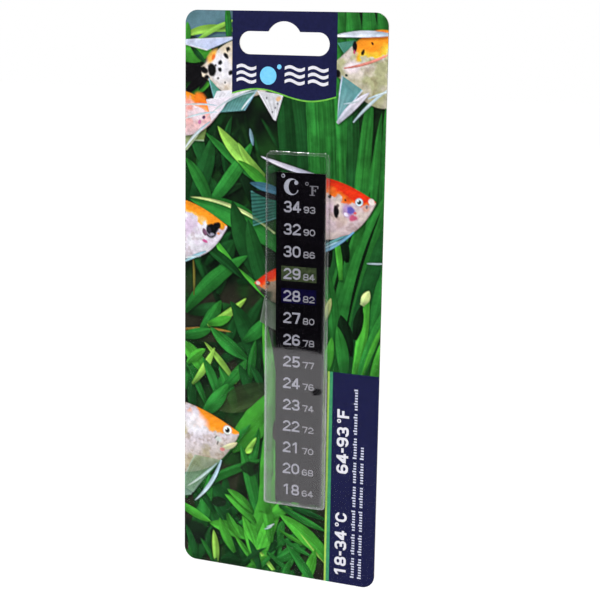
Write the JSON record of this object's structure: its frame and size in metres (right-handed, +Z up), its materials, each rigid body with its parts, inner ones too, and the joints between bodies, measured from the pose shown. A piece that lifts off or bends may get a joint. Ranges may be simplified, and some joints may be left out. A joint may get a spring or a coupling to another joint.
{
  "type": "carded aquarium strip thermometer",
  "caption": "Stick-on liquid-crystal strip thermometer in a clear blister on a printed hang card with a euro slot; the strip slides in its pocket.",
  "frame": {"origin": "centre of the hang slot's dome, on the card's back face", "axes": "+Z up the card towards its hang slot, +Y out of the card's back, +X to the right as the front is read"},
  "size_m": [0.073, 0.0031, 0.195],
  "materials": {
    "board": "white coated paperboard, fibrous at the cut edge",
    "scene_ink": "varnished four-colour print of green water plants",
    "navy_ink": "varnished dark blue ink",
    "green_ink": "varnished green ink",
    "light_ink": "varnished yellow-green ink",
    "teal_ink": "varnished teal ink",
    "white_ink": "varnished white ink",
    "pale_ink": "varnished pale grey ink",
    "blue_ink": "varnished light blue ink",
    "clear_film": "clear thermoformed PET, glossy",
    "face_clear": "clear polyester face film, glossy",
    "figure_ink": "pale grey screen ink",
    "figure_ink_2": "mid grey screen ink",
    "mask_ink": "black screen ink",
    "crystal_dark": "liquid-crystal layer outside its range, black",
    "crystal_olive": "liquid-crystal layer, dull green",
    "crystal_blue": "liquid-crystal layer, dark blue",
    "backing": "black absorber film",
    "adhesive": "clear acrylic adhesive, tacky",
    "liner": "siliconised release paper"
  },
  "bodies": {
    "pack": {"card_board": "board", "scene_print": "scene_ink", "header_panel": "navy_ink", "header_wave_line": "green_ink", "emblem_waves": "white_ink", "emblem_bubble": "blue_ink", "side_panel": "navy_ink", "light_line": "light_ink", "teal_line": "teal_ink", "range_lettering": "white_ink", "note_line_long": "pale_ink", "note_line_short": "pale_ink", "blister_flange": "clear_film", "blister_pocket": "clear_film"},
    "strip": {"face_film": "face_clear", "unit_marks": "figure_ink", "celsius_figures": "figure_ink", "fahrenheit_figures": "figure_ink_2", "black_mask": "mask_ink", "black_backing": "backing", "adhesive_layer": "adhesive", "release_liner": "liner", "crystal_34": "crystal_dark", "crystal_32": "crystal_dark", "crystal_30": "crystal_dark", "crystal_29": "crystal_olive", "crystal_28": "crystal_blue", "crystal_27": "crystal_dark", "crystal_26": "crystal_dark", "crystal_25": "crystal_dark", "crystal_24": "crystal_dark", "crystal_23": "crystal_dark", "crystal_22": "crystal_dark", "crystal_21": "crystal_dark", "crystal_20": "crystal_dark", "crystal_18": "crystal_dark"}
  },
  "joints": [
    {"name": "strip_slide", "type": "slide", "parent": "pack", "child": "strip", "axis": [0, 0, 1], "range_m": [0, 0.006]}
  ]
}
